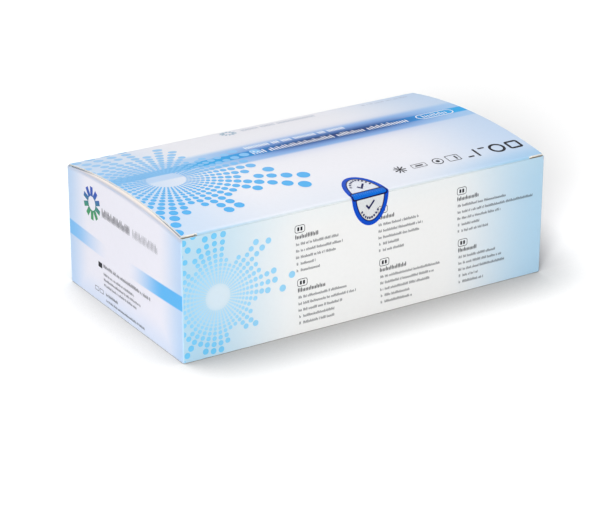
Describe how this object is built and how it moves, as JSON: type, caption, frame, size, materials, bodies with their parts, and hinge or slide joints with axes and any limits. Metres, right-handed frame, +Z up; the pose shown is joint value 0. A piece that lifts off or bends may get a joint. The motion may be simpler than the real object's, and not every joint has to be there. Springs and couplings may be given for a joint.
{
  "type": "test kit carton",
  "caption": "Closed rectangular folding carton with a bowed tuck lid, slit locks at its front corners and an oval seal label over the lid's front fold.",
  "frame": {"origin": "middle of the base, on the surface that the carton stands on", "axes": "+X along the long side, -Y towards the front panel with the seal label, +Z up"},
  "size_m": [0.24, 0.1331, 0.079],
  "materials": {
    "printed_board": "satin",
    "label_film": "gloss"
  },
  "bodies": {
    "root": {"carton": "printed_board", "seal_label": "label_film"}
  },
  "joints": []
}
